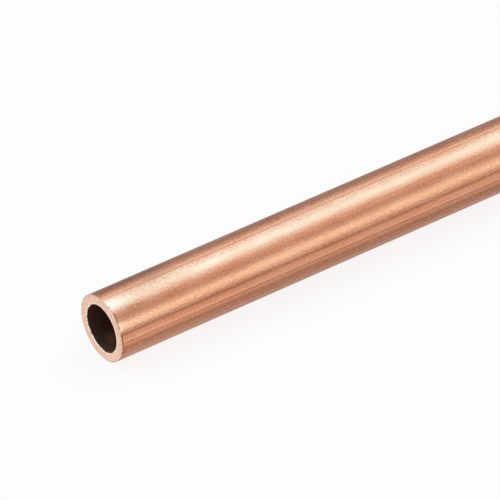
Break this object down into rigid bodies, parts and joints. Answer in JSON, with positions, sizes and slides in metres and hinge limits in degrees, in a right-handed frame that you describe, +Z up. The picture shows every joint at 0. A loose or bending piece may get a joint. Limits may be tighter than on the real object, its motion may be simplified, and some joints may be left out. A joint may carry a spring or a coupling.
{
  "type": "copper pipe length",
  "caption": "Straight length of drawn copper pipe with a thick wall, round bore and square-cut ends, for carrying fluid or as raw tube stock.",
  "frame": {"origin": "on the level surface that the pipe lies on, under the middle of its length", "axes": "+X along the pipe from the near end to the far end, +Z up, so the pipe's own axis runs along X at a height of one outer radius"},
  "size_m": [0.2, 0.01, 0.01],
  "materials": {
    "copper": "satin"
  },
  "bodies": {
    "root": {"pipe": "copper"}
  },
  "joints": []
}
